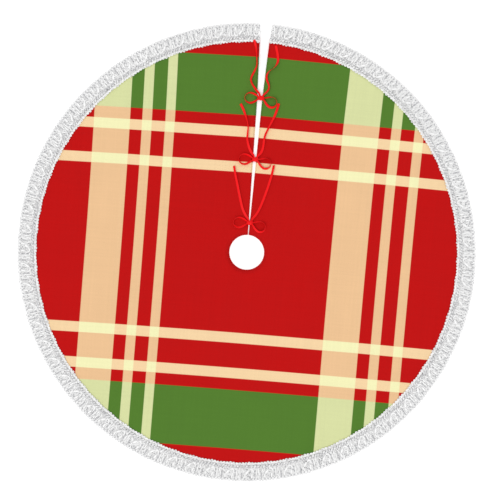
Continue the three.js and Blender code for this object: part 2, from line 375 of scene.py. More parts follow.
def map_cut(piece):
    """A map of where the cloth lay when it was cut, for the pattern to follow."""
    x, y, _ = read_points(piece).T
    map_points(piece, "CutMap", cut_place(x, y))


ties = {}
for bow in bow_names:
    for side in sides:
        ribbon, middle_line = make_ribbon(f"{bow}_{side}_tie", tie_stations(bow, side))
        ties[bow, side] = (ribbon, middle_line)
        print(ribbon.name, "length in mm", round(stretches(middle_line).sum() / mm))

# %% [markdown]
# ## Sums on sockets
#
# A pattern is a sum, and a sum is easier to read as Python than as a web of nodes. `Wire` wraps one
# output of a node, so that `1 - mask` adds a Math node to the tree. `Tree` adds any other node, for
# materials and Geometry Nodes.

# %% Classes that add nodes


def pick(sockets, key):
    """A socket by its number, or the live socket of that name."""
    if isinstance(key, int):
        return sockets[key]
    return next(socket for socket in sockets if socket.name == key and socket.enabled)


class Wire:
    """One output in a tree. A sum on it adds a Math node."""

    def __init__(self, tree, socket):
        self.tree, self.socket = tree, socket

    def out(self, name):
        return Wire(self.tree, pick(self.socket.node.outputs, name))

    def math(self, operation, *others):
        return self.tree.math(operation, self, *others)

    def clamped(self):
        return self.math("MAXIMUM", 0).math("MINIMUM", 1)

    __add__ = __radd__ = lambda self, other: self.math("ADD", other)
    __mul__ = __rmul__ = lambda self, other: self.math("MULTIPLY", other)
    __sub__ = lambda self, other: self.math("SUBTRACT", other)
    __rsub__ = lambda self, other: self.tree.math("SUBTRACT", other, self)
    __truediv__ = lambda self, other: self.math("DIVIDE", other)
    __rtruediv__ = lambda self, other: self.tree.math("DIVIDE", other, self)


class Tree:
    """Adds nodes to a tree of any kind."""

    def __init__(self, tree):
        self.tree = tree

    def node(self, kind, sockets=None, output=0, **settings):
        """A node with its settings made first, then the values or wires of its sockets."""
        made = self.tree.nodes.new(kind)
        for name, value in settings.items():
            setattr(made, name, value)
        for key, value in (sockets or {}).items():
            self.plug(pick(made.inputs, key), value)
        return Wire(self, pick(made.outputs, output))

    def plug(self, socket, value):
        """Puts a value or a wire into a socket."""
        if isinstance(value, Wire):
            self.tree.links.new(value.socket, socket)
        else:
            socket.default_value = value

    def math(self, operation, *values):
        return self.node("ShaderNodeMath", dict(enumerate(values)), operation=operation)

    def vector(self, x=0.0, y=0.0, z=0.0):
        return self.node("ShaderNodeCombineXYZ", {0: x, 1: y, 2: z})

    def split(self, vector):
        """A vector's x, y and z."""
        x = self.node("ShaderNodeSeparateXYZ", {0: vector})
        return x, x.out("Y"), x.out("Z")

    def mix(self, share, first, second, blend="MIX"):
        """Mixes two colours."""
        sockets = {0: share, 6: first, 7: second}
        return self.node("ShaderNodeMix", sockets, 2, data_type="RGBA", blend_type=blend)

    def noise(self, place, scale, detail=2.0):
        """A soft random value from 0 to 1."""
        return self.node("ShaderNodeTexNoise", {"Vector": place, "Scale": scale, "Detail": detail})


class Finish(Tree):
    """A material with one Principled shader."""

    def __init__(self, name, **values):
        self.material = bpy.data.materials.new(name)
        self.material.use_nodes = True
        super().__init__(self.material.node_tree)
        self.shader = self.tree.nodes["Principled BSDF"]
        for key, value in values.items():
            self.shader.inputs[key.replace("_", " ")].default_value = value

    def place(self):
        return self.node("ShaderNodeTexCoord", output="Object")

    def scaled(self, place, scale):
        return self.node("ShaderNodeMapping", {"Vector": place, "Scale": scale})

    def show(self, socket, value):
        self.plug(self.shader.inputs[socket], value)

    def paint(self, colour, shade, roughness, height, depth):
        """A shaded colour, a roughness, and a surface that stands up where the height does."""
        self.show("Base Color", self.mix(1.0, colour, shade, "MULTIPLY"))
        self.show("Roughness", roughness)
        self.show("Normal", self.node("ShaderNodeBump", {"Height": height, "Distance": depth}))
        return self


def dye(red, green, blue):
    """A colour as the eye grades it, from 0 to 255, turned into amounts of light."""
    shares = [value / 255 for value in (red, green, blue)]
    light = [s / 12.92 if s <= 0.04045 else ((s + 0.055) / 1.055) ** 2.4 for s in shares]
    return (*light, 1.0)


print("mid grey", round(dye(128, 128, 128)[0], 3))

# %% [markdown]
# ## The tartan
#
# A tartan is the same list of stripes in the warp and the weft. Here a wide and two narrow peach
# stripes run with the slit, pairs of cream bands cross them, and the ground turns green beyond the
# outer cream bands. Each stripe is a mask on one coordinate.
#
# The skirt was cut from a whole round, and opening the slit turned each half a little. So the stripes
# read a map of where each point lay when it was cut, and they fan out towards the slit. The cloth is
# a fine twill, each warp thread over two weft threads and under the next two, with painted shade in
# the gaps between the threads.

# %% Stripes, threads and streaks
warp_period, warp_origin = 655 * mm, -531 * mm
weft_axis, weft_skew = -1.6 * mm, 0.0052
stripe_blur = 1.6 * mm
# Both edges of each stripe in mm, from the start of the repeat or the middle line.
warp_stripes = [(100, 195.5), (228, 253.5), (289.5, 314.5)]
weft_stripes, green_band = [(214.7, 242.3), (308.7, 336.3)], (367.5, 524)
thread_pitch, thread_depth = 1.1 * mm, 0.12 * mm

red, green = dye(200, 14, 14), dye(87, 130, 48)
peach_on_red, peach_on_green = dye(246, 202, 154), dye(225, 231, 171)
cream_on_red, cream_crossing = dye(255, 221, 173), dye(255, 252, 196)


def stripe(value, low, high):
    """1 inside a stripe, 0 outside, with a short blur at its edges."""
    depth = (high - low) / 2 * mm - (value - (low + high) / 2 * mm).math("ABSOLUTE")
    return (depth / stripe_blur + 0.5).clamped()


def tartan_colour(finish, x, y):
    """The tartan's flat colour at a place."""
    across = (x - warp_origin).math("WRAP", warp_period, 0.0)
    along = (y - x * weft_skew - weft_axis).math("ABSOLUTE")
    warp = sum((stripe(across, *edges) for edges in warp_stripes), 0)
    weft = sum((stripe(along, *edges) for edges in weft_stripes), 0)
    field = stripe(along, *green_band)
    ground = finish.mix(field, red, green)
    ground = finish.mix(warp, ground, finish.mix(field, peach_on_red, peach_on_green))
    return finish.mix(weft, ground, finish.mix(warp, cream_on_red, cream_crossing))


def twill(x, y):
    """The height of a two by two twill, from 0 between threads to 1 on top of one."""
    u, v = x / thread_pitch, y / thread_pitch
    over = (u.math("FLOOR") - v.math("FLOOR")).math("WRAP", 4.0, 0.0).math("LESS_THAN", 2.0)
    warp, weft = ((place * math.pi).math("SINE").math("ABSOLUTE") for place in (u, v))
    return over * warp + (1 - over) * weft


def woven(finish, colour, streak=0.07, thread_gap_shade=0.16):
    """Gives a cloth its threads, its uneven dye and its streaks, paints shade in the gaps between
    threads, and shows the colour.
    """
    place = finish.node("ShaderNodeUVMap", uv_map="CutMap")
    x, y, _ = finish.split(place)
    height = twill(x, y)
    lengthwise = finish.noise(finish.scaled(place, (190, 3, 1)), 1.0)
    crosswise = finish.noise(finish.scaled(place, (3, 190, 1)), 1.0)
    patches = finish.noise(place, 9.0)
    # Streaks and patches are uneven dye; the darkening between threads is painted shade.
    shade = 1 + (lengthwise + crosswise + patches - 1.5) * streak - (1 - height) * thread_gap_shade
    roughness = 0.8 + (patches - 0.5) * 0.2
    return finish.paint(colour(finish, x, y), shade, roughness, height, thread_depth)


cloth_look = {"Specular_IOR_Level": 0.08, "Sheen_Weight": 0.06, "Sheen_Roughness": 0.5}
tartan = woven(Finish("tartan_cloth", **cloth_look), tartan_colour)
hem_tartan = woven(Finish("hem_cloth", **cloth_look), tartan_colour, streak=0.09)
print("nodes in the tartan", len(tartan.tree.nodes))

# %% [markdown]
# ## The other finishes
#
# The lining is plain undyed cotton. Lace, tape and braid are white cotton thread: a little uneven,
# with fine strands that wind round each yarn. The grey patches of the net, bar and braid threads are
# painted shade. The satin ribbon shines, has strands that run along it, and has a thicker woven edge
# on each side.

# %% Lining, thread and satin
def lining_colour(finish, x, y):
    """Undyed cotton, a little lighter in patches."""
    return finish.mix(finish.noise(finish.place(), 4.0), dye(222, 219, 211), dye(233, 230, 224))


def thread_finish(name, dark, light, size, darkest=0.32, spread=0.36):
    """Cotton yarn between a darker and a lighter grey, in patches of a size in mm, with wound strands.
    On net, bar and braid threads the darker grey is painted shade.
    """
    finish = Finish(name, Specular_IOR_Level=0.15, Sheen_Weight=0.1, Sheen_Roughness=0.6)
    place = finish.place()
    mottle = finish.noise(place, 1 / (size * mm), 3.0)
    share = ((mottle - darkest) / spread).clamped()
    strands = finish.noise(finish.scaled(place, (1400, 1400, 2600)), 1.0, 1.0)
    colour = finish.mix(share, dye(*dark), dye(*light))
    roughness = 0.75 + (mottle - 0.5) * 0.2
    return finish.paint(colour, 0.94 + strands * 0.12, roughness, strands, thread_depth)


lining_look = woven(Finish("lining_cloth", **cloth_look), lining_colour, streak=0.05)
# The darker grey of the net, bar and braid threads is painted shade: on the net and the braid it paints
# the shade among the yarns, and the bar thread paints the shade in the openwork.
net_and_shade_thread = thread_finish("lace_net_thread", (122, 122, 125), (254, 254, 254), 3, 0.33, 0.15)
shade_thread = thread_finish("lace_bar_thread", (178, 178, 181), (212, 212, 214), 5)
lace_thread = thread_finish("lace_thread", (252, 252, 252), (255, 255, 255), 5)
tape_thread = thread_finish("tape_thread", (214, 213, 213), (254, 254, 254), 5, 0.34, 0.2)
braid_thread = thread_finish("braid_thread", (172, 172, 174), (248, 248, 248), 4, 0.34, 0.24)
# The seam thread has deeper painted shade between its threads.
seam_thread = woven(Finish("seam_thread", **cloth_look), tartan_colour, thread_gap_shade=0.3)


def satin_finish(rib_pitch=1 * mm):
    """Red satin that shines along its strands, duller on the ribbed woven edges."""
    finish = Finish("satin_ribbon", Specular_IOR_Level=0.16, Sheen_Weight=0.05)
    strip = finish.node("ShaderNodeUVMap", uv_map="StripMap")
    across, along, _ = finish.split(strip)
    edge = (((across - 0.5).math("ABSOLUTE") - 0.42) / 0.03).clamped()
    strands = finish.noise(finish.scaled(strip, (60, 90, 1)), 1.0)
    ribs = ((along * (math.tau / rib_pitch)).math("SINE") * 0.5 + 0.5) * edge
    cloudy = finish.noise(finish.scaled(strip, (1.5, 60, 1)), 1.0)
    colour = finish.mix(cloudy, dye(236, 8, 14), dye(255, 16, 22))
    shade = 0.93 + strands * 0.16 - edge * 0.16 - ribs * 0.08
    roughness = 0.34 + strands * 0.14 + edge * 0.2
    return finish.paint(colour, shade, roughness, strands * 0.5 + ribs, 0.16 * mm)


satin = satin_finish()
print("finishes", len(bpy.data.materials))

# %% [markdown]
# ## Laying a strip round the ring
#
# Every round piece is drawn as a straight strip, cut from a roll: x runs along it, y is the radius,
# and z is the height. One rule, as nodes that any tree can use, lays it round the ring so that both
# ends meet the slit's edges.

# %% A class for Geometry Nodes, and the rule for the ring
strip_length = math.tau * 590 * mm
heading_edge, heading_foot = 571.8 * mm, 578.8 * mm


class Recipe(Tree):
    """A Geometry Nodes tree with named inputs, used to make plain meshes."""

    def __init__(self, name, inputs):
        super().__init__(bpy.data.node_groups.new(name, "GeometryNodeTree"))
        add = self.tree.interface.new_socket
        self.sockets = {
            key: add(key, in_out="INPUT", socket_type="NodeSocket" + kind).identifier
            for key, kind in {"Shape": "Geometry", **inputs, "Finish": "Material"}.items()
        }
        add("Shape", in_out="OUTPUT", socket_type="NodeSocketGeometry")
        self.given = self.tree.nodes.new("NodeGroupInput")

    def take(self, name):
        return Wire(self, self.given.outputs[name])

    def places(self):
        """The x, y and z of each point."""
        return self.split(self.node("GeometryNodeInputPosition"))

    def move(self, shape, x, y, z):
        """Puts each point at a new place."""
        sockets = {"Geometry": shape, "Position": self.vector(x, y, z)}
        return self.node("GeometryNodeSetPosition", sockets)

    def skin(self, line, width, sides, flatness=1.0):
        """Sweeps a round section, or a flattened one, along lines."""
        section = self.node("GeometryNodeCurvePrimitiveCircle", {"Resolution": sides, "Radius": 1.0})
        sockets = {"Geometry": section, "Scale": self.vector(1.0, flatness, 1.0)}
        section = self.node("GeometryNodeTransform", sockets)
        sockets = {"Curve": line, "Profile Curve": section, "Scale": width, "Fill Caps": True}
        return self.node("GeometryNodeCurveToMesh", sockets)

    def close(self, shape):
        """Ends the tree: real geometry, smooth, with its finish."""
        shape = self.node("GeometryNodeRealizeInstances", {0: shape})
        shape = self.node("GeometryNodeSetShadeSmooth", {0: shape})
        sockets = {"Geometry": shape, "Material": self.take("Finish")}
        shape = self.node("GeometryNodeSetMaterial", sockets)
        self.plug(self.tree.nodes.new("NodeGroupOutput").inputs[0], shape)

    def make(self, piece, finish, **values):
        """Runs the tree on a start mesh, and leaves a plain settled piece."""
        modifier = piece.modifiers.new("recipe", "NODES")
        modifier.node_group = self.tree
        modifier[self.sockets["Finish"]] = finish.material
        for key, value in values.items():
            modifier[self.sockets[key]] = value
        evaluated = piece.evaluated_get(bpy.context.evaluated_depsgraph_get())
        mesh = bpy.data.meshes.new_from_object(evaluated)
        piece.modifiers.clear()
        piece.data = mesh
        settle(piece)
        print(piece.name, "triangles", sum(len(face.vertices) - 2 for face in mesh.polygons))
        return piece


def ramp(tree, value, low, high, start, end):
    """A value that runs straight from start to end between two places, and stays there."""
    return tree.node("ShaderNodeMapRange", {0: value, 1: low, 2: high, 3: start, 4: end})


def lay_round(tree, shape, margin=0.0, rise=None):
    """Lays a strip round the ring. With a rise, its inner part climbs from the floor to the cloth."""
    x, radius, height = tree.places()
    half = slit_halves[0] + margin
    for low, high, narrow, wide in zip(slit_radii, slit_radii[1:], slit_halves, slit_halves[1:]):
        half = ramp(tree, radius, low, high, 0.0, wide - narrow) + half
    edge = (half / radius).math("ARCSINE")
    angle = edge + x / strip_length * (math.tau - 2 * edge)
    if rise is not None:
        height = height + ramp(tree, radius, heading_edge, heading_foot, rise, 0.0)
    return tree.move(shape, radius * angle.math("SINE"), radius * angle.math("COSINE"), height)


print("strip length in mm", round(strip_length / mm))

# %% [markdown]
# ## The cloth and its lining
#
# Both are flat rings with a slit: a grid, laid round and extruded. That leaves the underside open, so
# a flipped copy closes it, and the doubles are merged.

# %% Make the two cloth panels
fold_radius = face_high.z / 2
merge_gap = 0.001 * mm


def panel_recipe():
    """A flat ring with a slit, from a grid."""
    sizes = dict.fromkeys(("Inner", "Outer", "Margin", "Low", "Thickness"), "Float")
    tree = Recipe("slit ring", {**sizes, "Columns": "Int", "Rows": "Int"})
    inner, outer = tree.take("Inner"), tree.take("Outer")
    sockets = {"Size X": strip_length, "Size Y": outer - inner}
    sockets.update({"Vertices X": tree.take("Columns"), "Vertices Y": tree.take("Rows")})
    grid = tree.node("GeometryNodeMeshGrid", sockets)
    offset = tree.vector(strip_length / 2, (inner + outer) / 2, tree.take("Low"))
    grid = tree.node("GeometryNodeTransform", {"Geometry": grid, "Translation": offset})
    grid = lay_round(tree, grid, tree.take("Margin"))
    sockets = {"Mesh": grid, "Offset": tree.vector(z=tree.take("Thickness"))}
    sockets.update({"Offset Scale": 1.0, "Individual": False})
    upper = tree.node("GeometryNodeExtrudeMesh", sockets)
    both = tree.node("GeometryNodeJoinGeometry", {0: upper})
    tree.plug(both.socket.node.inputs[0], tree.node("GeometryNodeFlipFaces", {"Mesh": grid}))
    sockets = {"Geometry": both, "Distance": merge_gap}
    tree.close(tree.node("GeometryNodeMergeByDistance", sockets))
    return tree


panel = panel_recipe()
cloth_thickness = face_high.z - face_low.z
lining_low, lining_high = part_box("lining_panel")
face_cloth = panel.make(
    make_piece("face_cloth"), tartan, Inner=opening_radius + fold_radius,
    Outer=face_radius - fold_radius, Margin=fold_radius, Low=face_low.z,
    Thickness=cloth_thickness, Columns=289, Rows=37,
)
lining = panel.make(
    make_piece("lining"), lining_look, Inner=61.8 * mm, Outer=lining_high.x,
    Margin=15.3 * mm, Low=lining_low.z, Thickness=cloth_thickness, Columns=193, Rows=25,
)

# %% [markdown]
# ## Folded edges
#
# The cloth is turned under at the slit, the opening and the rim, and the turned part is the hem. Each
# fold is one section swept along the edge: a flat hem, a round bend, and a top that meets the cloth.
# The slit's are narrow where a round hem lies beneath.

# %% Make the four folded hems
slit_hem_width, rim_hem_width = 15 * mm, 20 * mm
curl_reach, hem_step = 1.7 * mm, 0.05 * mm
bend = np.radians(np.linspace(-90, 90, 7))


def fold_section(reach):
    """Each corner of a fold's section: how far in from the edge, and how high."""
    outside, inside = (
        np.stack([fold_radius - radius * np.cos(bend), fold_radius + radius * np.sin(bend)], axis=1)
        for radius in (fold_radius, fold_radius - cloth_thickness)
    )
    return np.concatenate([[(reach, 0)], outside, inside[::-1], [(reach, cloth_thickness)]])


def slit_fold(name, sign):
    """The folded edge on one side of the slit, from the opening to the rim."""
    low, high = (corner.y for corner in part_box("slit_hem_left"))
    near = np.linspace(opening_radius, low - hem_step, 4)
    far = np.linspace(high + hem_step, face_radius, 4)
    rings = []
    for y in np.r_[near, np.linspace(low, high, 90), far]:
        reach, height = fold_section(slit_hem_width if low <= y <= high else curl_reach).T
        x = sign * (slit_half(y) + reach)
        rings.append(np.stack([x, np.full(len(x), y), height], axis=1))
    piece = make_tube(name, np.array(rings))
    settle(piece)
    return piece


def laid_recipe():
    """Lays a mesh that is drawn as a strip round the ring."""
    tree = Recipe("laid round", {"Margin": "Float"})
    tree.close(lay_round(tree, tree.take("Shape"), tree.take("Margin")))
    return tree


laid = laid_recipe()
folds = {}
for name, inner, edge in (
    ("opening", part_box("opening_hem")[1].x, opening_radius),
    ("rim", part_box("rim_hem")[1].x - rim_hem_width, face_radius),
):
    reach, height = fold_section(abs(inner - edge)).T
    radius = edge + math.copysign(1, inner - edge) * reach
    spots = np.linspace(0, strip_length, 241)
    rings = [np.stack([np.full(len(reach), x), radius, height], axis=1) for x in spots]
    start = make_tube(f"{name}_fold", np.array(rings))
    folds[f"{name}_hem"] = laid.make(start, hem_tartan, Margin=curl_reach + 0.2 * mm)
for side, sign in sides.items():
    folds[f"slit_hem_{side}"] = slit_fold(f"slit_fold_{side}", sign)
    folds[f"slit_hem_{side}"].data.materials.append(hem_tartan.material)
print("folds", list(folds))

# %% [markdown]
# ## Threads drawn once and repeated
#
# Lace, tape and braid repeat a short drawing, made of strokes: lines with a thickness at each point.
# The tree copies the strokes along the strip, lays their middle lines round the ring, and only then
# gives them a skin, so the yarn keeps its section. A yarn that runs past the strip's ends is cut, and
# its last bit is bent along the slit, as in overcast lace.

# %% A tree that repeats strokes
loose_end = 5.8 * mm


def draw_strokes(name, strokes):
    """A mesh of lines. Each stroke is a list of x, y, z and half width, in mm."""
    points, edges, widths = [], [], []
    for stroke in strokes:
        start = len(points)
        points += [(x * mm, y * mm, z * mm) for x, y, z, _ in stroke]
        widths += [width * mm for *_, width in stroke]
        edges += [(start + i, start + i + 1) for i in range(len(stroke) - 1)]
    piece = make_piece(name, points, [], edges)
    half_width = piece.data.attributes.new("half_width", "FLOAT", "POINT")
    half_width.data.foreach_set("value", widths)
    return piece


def stroke_recipe():
    """Copies strokes along the strip, lays them round and gives them a skin."""
    inputs = {"Count": "Int", "Extra": "Int", "Flatness": "Float", "Sides": "Int", "Rise": "Float"}
    tree = Recipe("repeated strokes", inputs)
    pitch, extra = strip_length / tree.take("Count"), tree.take("Extra")
    sockets = {"Count": tree.take("Count") + extra * 2, "Offset": tree.vector(pitch)}
    sockets["Start Location"] = tree.vector(pitch * extra * -1)
    starts = tree.node("GeometryNodeMeshLine", sockets, mode="OFFSET")
    sockets = {"Points": starts, "Instance": tree.take("Shape")}
    shape = tree.node("GeometryNodeInstanceOnPoints", sockets)
    shape = tree.node("GeometryNodeRealizeInstances", {0: shape})
    line = tree.node("GeometryNodeMeshToCurve", {0: shape})
    x, y, z = tree.places()
    middle = strip_length / 2
    past = (x - middle).math("ABSOLUTE").math("GREATER_THAN", middle + loose_end)
    sockets = {"Geometry": line, "Selection": past}
    line = tree.node("GeometryNodeDeleteGeometry", sockets, domain="POINT")
    line = tree.move(line, x.math("MAXIMUM", 0.0).math("MINIMUM", strip_length), y, z)
    line = lay_round(tree, line, rise=tree.take("Rise"))
    line = tree.node("GeometryNodeSetCurveNormal", {0: line}, mode="Z_UP")
    width = tree.node("GeometryNodeInputNamedAttribute", {"Name": "half_width"}, data_type="FLOAT")
    tree.close(tree.skin(line, width, tree.take("Sides"), tree.take("Flatness")))
    return tree


strokes_round = stroke_recipe()


def repeat_strokes(name, finish, strokes, count, flatness=1.0, sides=4, rise=0.0, extra=0):
    """A trim piece from its strokes."""
    values = {"Count": count, "Extra": extra, "Flatness": flatness, "Sides": sides, "Rise": rise}
    return strokes_round.make(draw_strokes(name, strokes), finish, **values)


print("stroke tree nodes", len(strokes_round.tree.nodes))

# %% [markdown]
# ## The lace
#
# The edging is cotton lace: a ground of crossing yarns with grey patches of painted shade, a padded
# pattern of leaves and scrolls on it, grey bars between the leaves and grey dots at the feet of the
# loops that are painted shade in the openwork, and small loops along its outer edge. The pattern comes
# seventy times round. A flat sheet with holes would look like paper, so every yarn is its own thin
# tube.

# %% Draw one repeat of the lace
repeats = 70
repeat_width = strip_length / repeats / mm
lace_inner, lace_outer = 562.6, 604.4
ground_yarns = 20
rng = np.random.default_rng(12)


def ground_yarn(start, lean, over):
    """A yarn that crosses the ground on a slant, over and under its neighbours."""
    stroke = []
    for step, y in enumerate(np.linspace(lace_inner, lace_outer, 7)):
        x = start + lean * (y - lace_inner) + rng.normal(0, 0.22)
        z = 0.55 + (0.2 if (step + over) % 2 else -0.1)
        stroke.append((x, y, z, 0.42 + rng.normal(0, 0.05)))
    return stroke


def leaf(x, y, length, half, lean):
    """A padded leaf: a stroke that swells in its middle."""
    turn, stroke = math.radians(lean), []
    for t in np.linspace(-1, 1, 9):
        along, width = t * length / 2, 0.25 + (half - 0.25) * (1 - t * t) ** 0.7
        stroke.append((x + along * math.sin(turn), y + along * math.cos(turn), 1.15, width))
    return stroke


def along_points(points, half, z=1.0):
    """A stroke through points, smoothed, that tapers at both ends."""
    stations = np.array([(x, y, z) for x, y in points])
    line, places = smooth_line(stations, stretches(stations).mean() / 4)
    shares = places / places[-1]
    widths = half * (0.35 + 0.65 * np.sqrt(np.clip(4 * shares * (1 - shares), 0, 1)))
    return [(*spot, width) for spot, width in zip(line, widths)]


def eyelet(x, y, size):
    """A small ring of thread."""
    turns = np.linspace(0, math.tau, 9)
    return [(x + size * math.cos(a), y + size * math.sin(a), 0.9, 0.42) for a in turns]


ground = []
for i in range(ground_yarns):
    start = i * repeat_width / ground_yarns + rng.normal(0, 0.2)
    ground += [ground_yarn(start, 0.8, i), ground_yarn(start, -0.8, i + 1)]
print("ground strokes in a repeat", len(ground))

# %% Make the lace from its strokes
leaves = [
    leaf(7.6, 597.4, 12, 2.2, -2), leaf(42, 597, 14, 2.6, 14), leaf(23.6, 583.8, 13, 2.2, 7),
    leaf(54.2, 587, 15.5, 3.2, 42), leaf(20.6, 592, 17, 1.5, 3), leaf(29.8, 589.4, 21, 1.8, 4),
    leaf(24.6, 599.4, 8, 1.7, -4), leaf(11.6, 583.6, 10, 1.8, -24),
]
scrolls = [
    along_points([(37.4, 589.6), (37.6, 584), (40.2, 580), (44.2, 579.2), (47.6, 581.8)], 2.1),
    along_points([(34.6, 581.2), (32.4, 579), (28.6, 578.6)], 1.4),
]
# The bars are grey thread that paints the shade in the openwork between the leaves.
bars = [
    along_points([(16.8, 604.6), (16.7, 598), (15.6, 588.4)], 1.4, 1.2),
    along_points([(34.1, 600.6), (34.2, 591)], 1.3, 1.2), leaf(34.3, 585.3, 5.4, 2.2, 0),
    leaf(47, 601.6, 6, 1.2, 8), leaf(51.6, 598.8, 4, 1.7, 60), leaf(2.6, 579.6, 4.4, 1.5, 50),
]
eyelets = [
    eyelet(12.4, 592.4, 1.5), eyelet(17.6, 582, 1.5), eyelet(37.4, 594.6, 1.5),
    eyelet(12.2, 600.6, 1.6), eyelet(38.4, 601, 1.4), eyelet(2.4, 599, 1.4),
]
loops_in_repeat = 6
loop_count, loop_width = repeats * loops_in_repeat, repeat_width / loops_in_repeat


def arch(low, high, half, z, inset=0.2):
    """One arch of thread along an edge, from a foot at low to a crown at high."""
    turns = np.linspace(0, math.pi, 8)
    reach = loop_width / 2 - inset
    return [
        (loop_width / 2 - reach * math.cos(a), low + (high - low) * math.sin(a) ** 0.8, z, half)
        for a in turns
    ]


def ring_cord(y, z, half):
    """A cord that runs the whole way round."""
    return [(x, y, z, half) for x in np.linspace(0, strip_length / mm, 481)]


def end_cord(x):
    """A cord that binds the lace's cut end along the slit."""
    return [(x, y, 0.8, 0.7) for y in np.linspace(lace_inner + 1, lace_outer + 1.6, 12)]


cords = [ring_cord(lace_outer, 0.8, 0.75), ring_cord(577.2, 0.8, 0.6)]
cords += [end_cord(0.6), end_cord(strip_length / mm - 0.6)]
outer_loops = [arch(lace_outer, 611, 0.6, 0.85), arch(lace_outer + 0.4, 607.6, 0.4, 1, 1.6)]
# Grey dots at the feet of the loops, painted shade.
loop_shade_dots = [leaf(loop_width, 605.6, 4.2, 1.5, 0)]
lace_rise = 1.9 * mm
lace = [
    repeat_strokes(*row) for row in (
        ("lace_net", net_and_shade_thread, ground, repeats, 0.7, 4, lace_rise, 1),
        ("lace_pattern", lace_thread, leaves + scrolls, repeats, 0.3, 6, lace_rise),
        ("lace_bars", shade_thread, bars, repeats, 0.4, 6, lace_rise),
        ("lace_eyelets", lace_thread, eyelets, repeats, 0.8, 4, lace_rise),
        ("lace_cords", net_and_shade_thread, cords, 1, 0.8, 5, lace_rise),
        ("lace_loops", braid_thread, outer_loops, loop_count, 0.8, 4),
        ("lace_feet", shade_thread, loop_shade_dots, loop_count, 0.4, 6),
    )
]

# %% [markdown]
# ## The tape and the braid
#
# A narrow white tape with a scalloped edge covers the line where lace and cloth meet, and a braid is
# sewn on beside it. The tape is a row of satin stitches over a thin band. The braid is a row of plump
# slanting strands over a flat grey core, between two cords; the core's grey and the grey patches on
# the strands are painted shade between the strands.

# %% Make the tape and the braid
tape_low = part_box("picot_tape")[0].z / mm
braid_low = (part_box("heading_braid")[0].z - lace_rise) / mm
tape_stitches, braid_strands = 2800, 455
tape_band = panel.make(
    make_piece("tape_band"), tape_thread, Inner=564 * mm, Outer=567.8 * mm,
    Margin=0.2 * mm, Low=tape_low * mm, Thickness=0.25 * mm, Columns=361, Rows=2,
)
stitch = [(0.6, y, tape_low + 0.4, 0.68) for y in np.linspace(564.4, 567.5, 4)]
scallops = []
for i, depth in enumerate([0, 0.2, 0.8, 1, -0.2, -1.2]):
    outer = arch(565.6, 561 + depth, 1.1, tape_low + 0.35, 0.9)
    inner = arch(565.4, 563 + depth * 0.5, 0.9, tape_low + 0.3, 2.2)
    scallops += [[(x + i * loop_width, *rest) for x, *rest in stroke] for stroke in (outer, inner)]

# x, y, height and half width of one strand, which is bent over at both cords.
strand = [
    (0, 568.9, 0, 1.5), (1.4, 569.6, 0.3, 2.3), (3.2, 570.8, 0.45, 2.7),
    (5, 572.6, 0.45, 2.4), (6.8, 574.4, 0.3, 1.6), (8.4, 575.6, 0, 0.9),
]
strand = [(x, y, braid_low + 0.35 + z, half) for x, y, z, half in strand]
edges = [ring_cord(y, braid_low + 0.35, 0.6) for y in (568.8, 575.6)]
# The flat grey core paints the shade between the braid's strands.
core = [ring_cord(573.4, braid_low + 0.2, 1.9)]
tape = [
    tape_band, repeat_strokes("tape_scallops", tape_thread, scallops, repeats, 0.4, 6),
    repeat_strokes("tape_threads", tape_thread, [stitch], tape_stitches, 0.6, 4),
]
# The braid's strands and cords are grey in patches that paint the shade among them.
braid = [
    repeat_strokes("braid_strands", braid_thread, [strand], braid_strands, 0.34, 8, lace_rise),
    repeat_strokes("braid_cords", braid_thread, edges, 1, 0.6, 6, lace_rise),
    repeat_strokes("braid_shade_core", shade_thread, core, 1, 0.2, 6, lace_rise),
]

# %% [markdown]
# ## The seams
#
# The hems are held by rows of stitches in thread that matches the cloth. Each stitch is a grain of
# thread, thick in its middle, that dives into the cloth at its ends.

# %% Make the rows of stitches
seam_inset = 3 * mm
stitch_sizes = {"Spacing": 4 * mm, "Length": 3.2 * mm, "Thread": 0.32 * mm}


def stitch_recipe():
    """Spaces stitches along a line."""
    tree = Recipe("row of stitches", {"Spacing": "Float", "Length": "Float", "Thread": "Float"})
    path = tree.node("GeometryNodeMeshToCurve", {0: tree.take("Shape")})
    sockets = {"Curve": path, "Length": tree.take("Spacing")}
    points = tree.node("GeometryNodeCurveToPoints", sockets, mode="LENGTH")
    half = tree.take("Length") / 2
    sockets = {"Start": tree.vector(z=half * -1), "End": tree.vector(z=half)}
    line = tree.node("GeometryNodeCurvePrimitiveLine", sockets)
    line = tree.node("GeometryNodeResampleCurve", {"Curve": line, "Count": 5})
    along = tree.node("GeometryNodeSplineParameter") * 2 - 1
    stitch = tree.skin(line, tree.take("Thread") * (1 - along * along * 0.7), 5)
    sockets = {"Points": points, "Instance": stitch, "Rotation": points.out("Rotation")}
    tree.close(tree.node("GeometryNodeInstanceOnPoints", sockets))
    return tree


def seam_line(name, spots):
    """A line on top of the cloth, as a mesh of edges."""
    points = [(x, y, cloth_top + 0.05 * mm) for x, y in spots]
    return make_piece(name, points, [], [(i, i + 1) for i in range(len(points) - 1)])


stitch_row = stitch_recipe()
seams = []
seam_ys = np.linspace(opening_radius + 4 * mm, 560 * mm, 120)
for side, sign in sides.items():
    spots = [(sign * (slit_half(y) + seam_inset), y) for y in seam_ys]
    seams.append(seam_line(f"slit_seam_{side}", spots))
seam_radius = opening_radius + seam_inset
turns = np.radians(np.linspace(5, 355, 121))
spots = [(seam_radius * math.sin(a), seam_radius * math.cos(a)) for a in turns]
seams.append(seam_line("opening_seam", spots))
for seam in seams:
    stitch_row.make(seam, seam_thread, **stitch_sizes)

# %% [markdown]
# ## The knots
#
# In the middle of a bow, the ribbon is wrapped once round the gathered strands. The knot is a small
# pillow, with gathered folds at both ends and a smooth wrap over its middle.

